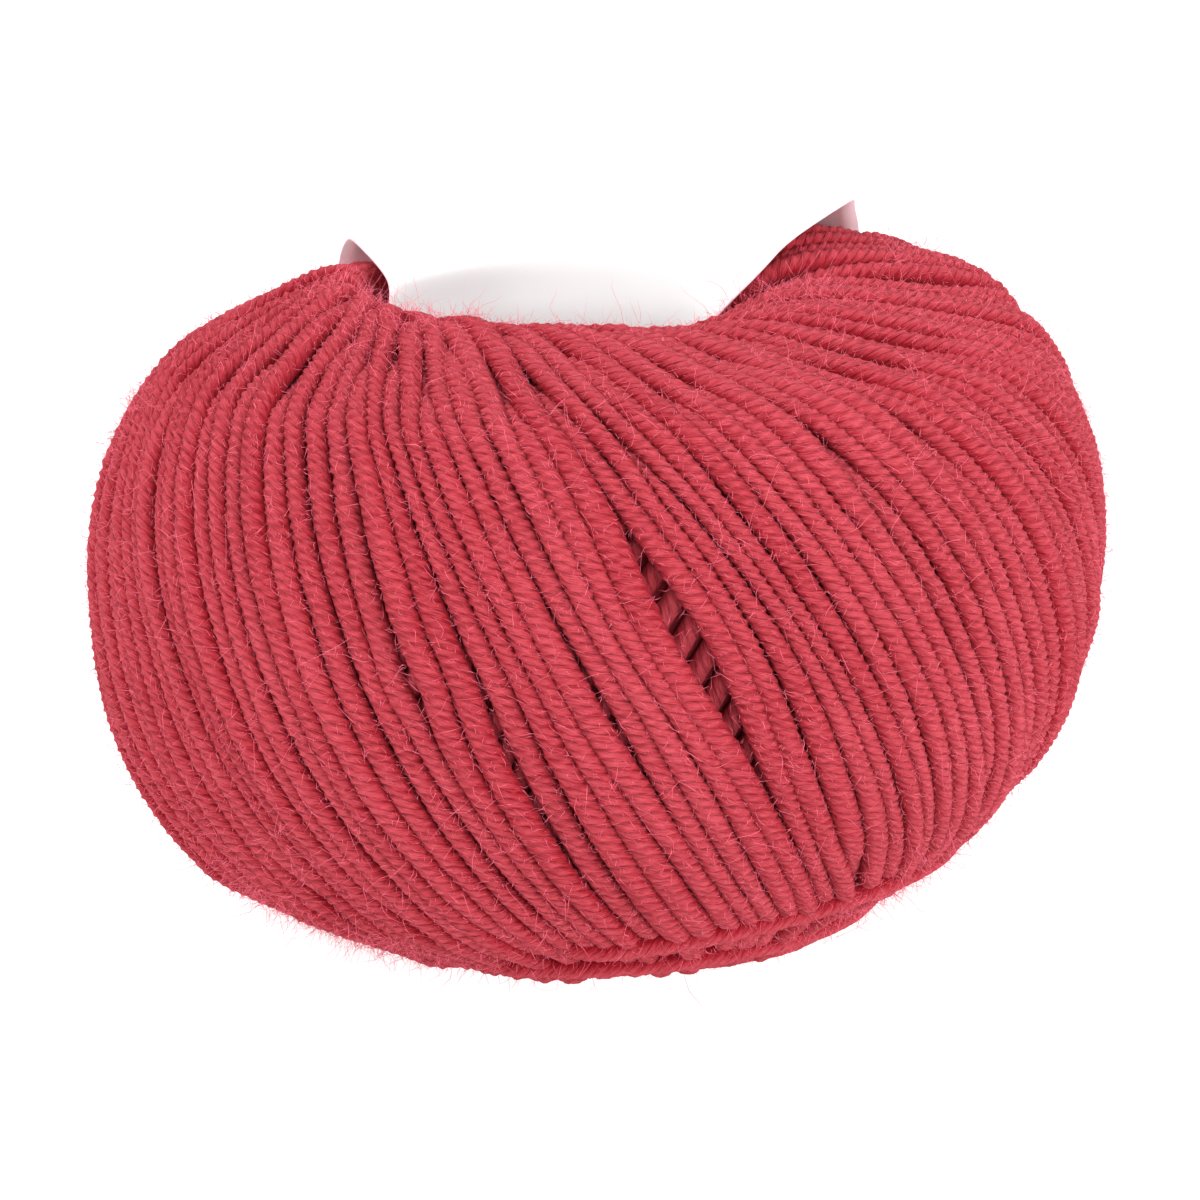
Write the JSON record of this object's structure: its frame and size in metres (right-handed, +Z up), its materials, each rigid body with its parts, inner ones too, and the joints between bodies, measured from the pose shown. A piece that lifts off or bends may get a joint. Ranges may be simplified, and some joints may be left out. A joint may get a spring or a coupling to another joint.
{
  "type": "ball of yarn",
  "caption": "Machine-wound ball of soft wool yarn with an open middle and a plain paper band looped through it and over its back.",
  "frame": {"origin": "on the floor, under the middle of the ball's overall box", "axes": "+X along the ball's long side, towards the right in the picture; -Y towards the free front half that the picture shows, so the paper band is at +Y; +Z up, out of the top of the hole"},
  "size_m": [0.1022, 0.0781, 0.0728],
  "materials": {
    "wool": "soft red plied wool with a light halo of fibres",
    "paper": "smooth uncoated white paper"
  },
  "bodies": {
    "root": {"yarn_ball": "wool", "paper_band": "paper"}
  },
  "joints": []
}
